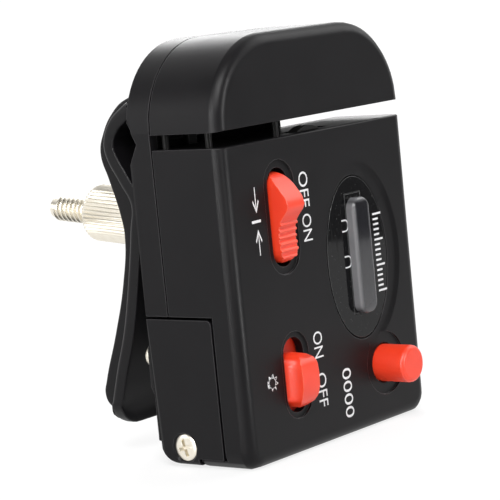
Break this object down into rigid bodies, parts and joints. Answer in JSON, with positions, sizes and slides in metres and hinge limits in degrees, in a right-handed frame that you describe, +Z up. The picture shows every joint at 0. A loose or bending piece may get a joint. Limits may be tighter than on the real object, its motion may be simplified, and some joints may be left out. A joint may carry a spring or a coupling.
{
  "type": "fishing line counter",
  "caption": "Clip-on fishing line counter with a line slot, measuring wheel, gear train and worm, number wheels behind a magnifying window, lock rocker, light slide, reset button and a screw clamp for the rod.",
  "frame": {"origin": "flat underside of the front shell, at the middle of the body's width and depth", "axes": "+Z up through the body, -Y out of the front face, +Y toward the rod clamp, +X to the right seen from the front"},
  "size_m": [0.052, 0.0623, 0.0723],
  "materials": {
    "black_plastic": "satin",
    "gloss_black": "gloss",
    "clear_lens": "clear",
    "red_plastic": "satin",
    "white_plastic": "satin",
    "rubber": "matte",
    "nickel": "bright"
  },
  "bodies": {
    "body": {"front_shell": "black_plastic", "hood_shell": "black_plastic", "rear_shell": "black_plastic", "battery_cover": "black_plastic", "cover_screw_left": "nickel", "cover_screw_right": "nickel", "rear_screw_left": "nickel", "rear_screw_right": "nickel", "window_panel": "gloss_black", "lens_bar": "clear_lens", "rocker_pin": "nickel", "roller_arm_pin": "nickel", "guide_pin_front": "nickel", "guide_pin_rear": "nickel", "guide_pin_inner": "nickel", "counter_frame": "white_plastic", "clamp_stud": "nickel", "gear_bridge": "white_plastic", "bridge_screw_left": "nickel", "bridge_screw_right": "nickel", "frame_screw_top": "nickel", "frame_screw_right": "nickel", "frame_screw_left": "nickel", "lamp": "clear_lens", "battery_tray": "black_plastic", "cell_left": "nickel", "cell_right": "nickel", "contact_strip": "nickel"},
    "rocker": {"line_lock_rocker": "red_plastic"},
    "lock_slider": {"lock_slider": "white_plastic"},
    "roller_arm": {"roller_arm": "white_plastic", "roller_axle": "nickel"},
    "pinch_roller": {"pinch_roller": "rubber"},
    "measuring_wheel": {"measuring_wheel": "white_plastic", "wheel_tyre": "rubber", "wheel_shaft": "nickel", "drive_gear": "white_plastic"},
    "worm": {"worm": "nickel", "driven_gear": "white_plastic"},
    "units_wheel": {"units_wheel": "black_plastic", "counter_shaft": "nickel", "worm_wheel": "white_plastic"},
    "tens_wheel": {"tens_wheel": "black_plastic"},
    "hundreds_wheel": {"hundreds_wheel": "black_plastic"},
    "light_knob": {"light_knob": "red_plastic"},
    "reset_button": {"reset_button": "red_plastic"},
    "clamp_arm": {"clamp_jaw": "black_plastic", "clamp_hub": "black_plastic", "clamp_handle": "black_plastic", "clamp_rib_left": "black_plastic", "clamp_rib_right": "black_plastic", "clamp_washer": "nickel"},
    "thumb_nut": {"thumb_nut": "nickel"}
  },
  "joints": [
    {"name": "rocker_tilt", "type": "hinge", "parent": "body", "child": "rocker", "pos_m": [-0.0116, -0.0074, 0.041], "axis": [1, 0, 0], "range_deg": [0, 15.6]},
    {"name": "lock_slider_lift", "type": "slide", "parent": "body", "child": "lock_slider", "axis": [0, 0, 1], "range_m": [0, 0.00191]},
    {"name": "roller_arm_swing", "type": "hinge", "parent": "body", "child": "roller_arm", "pos_m": [-0.006, -0.0032, 0.062], "axis": [0, 1, 0], "range_deg": [0, 13.01]},
    {"name": "pinch_roller_spin", "type": "hinge", "parent": "roller_arm", "child": "pinch_roller", "pos_m": [0.00215, -0.0068, 0.06026], "axis": [0, 1, 0], "continuous": true},
    {"name": "measuring_wheel_spin", "type": "hinge", "parent": "body", "child": "measuring_wheel", "pos_m": [0.00215, -0.0068, 0.0487], "axis": [0, 1, 0], "continuous": true},
    {"name": "worm_spin", "type": "hinge", "parent": "body", "child": "worm", "pos_m": [0.00235, -0.0022, 0.0409], "axis": [0, 1, 0], "continuous": true},
    {"name": "units_spin", "type": "hinge", "parent": "body", "child": "units_wheel", "pos_m": [0.00935, -0.0022, 0.0206], "axis": [0, 0, 1], "continuous": true},
    {"name": "tens_spin", "type": "hinge", "parent": "body", "child": "tens_wheel", "pos_m": [0.00935, -0.0022, 0.02685], "axis": [0, 0, 1], "continuous": true},
    {"name": "hundreds_spin", "type": "hinge", "parent": "body", "child": "hundreds_wheel", "pos_m": [0.00935, -0.0022, 0.0331], "axis": [0, 0, 1], "continuous": true},
    {"name": "light_slide", "type": "slide", "parent": "body", "child": "light_knob", "axis": [0, 0, 1], "range_m": [0, 0.0022]},
    {"name": "reset_press", "type": "slide", "parent": "body", "child": "reset_button", "axis": [0, 1, 0], "range_m": [0, 0.004], "stiffness_N_per_m": 100, "springref_m": -0.001},
    {"name": "clamp_slide", "type": "slide", "parent": "body", "child": "clamp_arm", "axis": [0, 0.9954, 0.0958], "range_m": [0, 0.008]},
    {"name": "nut_turn", "type": "hinge", "parent": "clamp_arm", "child": "thumb_nut", "pos_m": [-0.008, 0.01015, 0.0393], "axis": [0, 0.9954, 0.0958], "range_deg": [0, 2720]}
  ],
  "couplings": [
    {"joint": "lock_slider_lift", "follows": "rocker_tilt", "m_per_rad": 0.007},
    {"joint": "roller_arm_swing", "follows": "rocker_tilt", "ratio": 0.83333},
    {"joint": "worm_spin", "follows": "measuring_wheel_spin", "ratio": -0.85714},
    {"joint": "units_spin", "follows": "measuring_wheel_spin", "ratio": -0.040816},
    {"joint": "tens_spin", "follows": "measuring_wheel_spin", "ratio": -0.0040816},
    {"joint": "hundreds_spin", "follows": "measuring_wheel_spin", "ratio": -0.00040816},
    {"joint": "clamp_slide", "follows": "nut_turn", "m_per_rad": 0.00016844}
  ]
}
